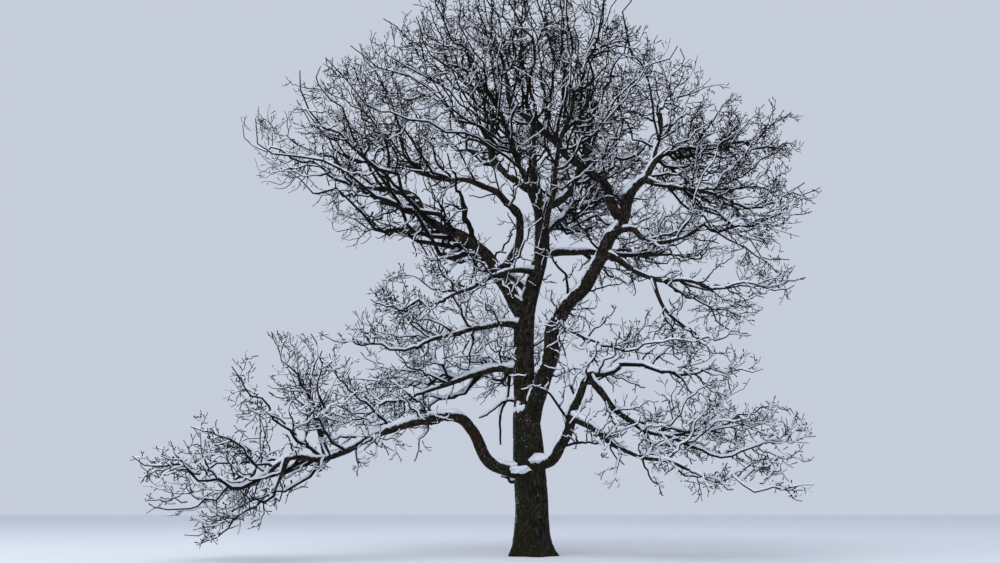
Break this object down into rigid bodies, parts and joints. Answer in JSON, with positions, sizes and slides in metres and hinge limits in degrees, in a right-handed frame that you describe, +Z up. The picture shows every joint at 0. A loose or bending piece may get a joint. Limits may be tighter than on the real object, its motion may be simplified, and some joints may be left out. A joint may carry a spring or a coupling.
{
  "type": "bare oak tree",
  "caption": "Leafless winter oak with a flared trunk, long crooked tapering boughs and branching twig masses that form a broad, open, rounded crown",
  "frame": {"origin": "the middle of the flat cut under the trunk, at ground level", "axes": "+Z up the trunk, +X to the right seen from the front, +Y away from the viewer"},
  "size_m": [12.4505, 10.0436, 12.6202],
  "materials": {
    "bark": "rough fissured bark, damp, with moss and snow",
    "twigs": "matt thin bark of young twigs"
  },
  "bodies": {
    "root": {"trunk": "bark", "bough_low_left": "bark", "bough_low_left_rise": "bark", "bough_low_left_drop": "bark", "bough_mid_left": "bark", "bough_upper_mid_left": "bark", "bough_crossing_left": "bark", "bough_left_leader": "bark", "bough_left_leader_up": "bark", "bough_upper_left": "bark", "bough_centre_right": "bark", "bough_right_leader": "bark", "bough_leader_left": "bark", "bough_leader_right": "bark", "bough_leader_up": "bark", "bough_right_tip": "bark", "bough_right_mid": "bark", "bough_right_low": "bark", "bough_right_drop": "bark", "bough_right_back": "bark", "bough_mid_right": "bark", "bough_low_right": "bark", "bough_low_right_out": "bark", "bough_low_right_under": "bark", "bough_back_left": "bark", "bough_back_high": "bark", "bough_back_right": "bark", "bough_back_low": "bark", "bough_front_high": "bark", "bough_front_left": "bark", "twigs_crown_top": "twigs", "twigs_low_left": "twigs", "twigs_low_left_rise": "twigs", "twigs_low_left_drop": "twigs", "twigs_mid_left": "twigs", "twigs_upper_mid_left": "twigs", "twigs_crossing_left": "twigs", "twigs_left_leader": "twigs", "twigs_left_leader_up": "twigs", "twigs_upper_left": "twigs", "twigs_centre_right": "twigs", "twigs_leader_left": "twigs", "twigs_leader_right": "twigs", "twigs_leader_up": "twigs", "twigs_right_tip": "twigs", "twigs_right_mid": "twigs", "twigs_right_low": "twigs", "twigs_right_drop": "twigs", "twigs_right_back": "twigs", "twigs_mid_right": "twigs", "twigs_low_right": "twigs", "twigs_low_right_out": "twigs", "twigs_low_right_under": "twigs", "twigs_back_left": "twigs", "twigs_back_high": "twigs", "twigs_back_right": "twigs", "twigs_back_low": "twigs", "twigs_front_high": "twigs", "twigs_front_left": "twigs"}
  },
  "joints": []
}
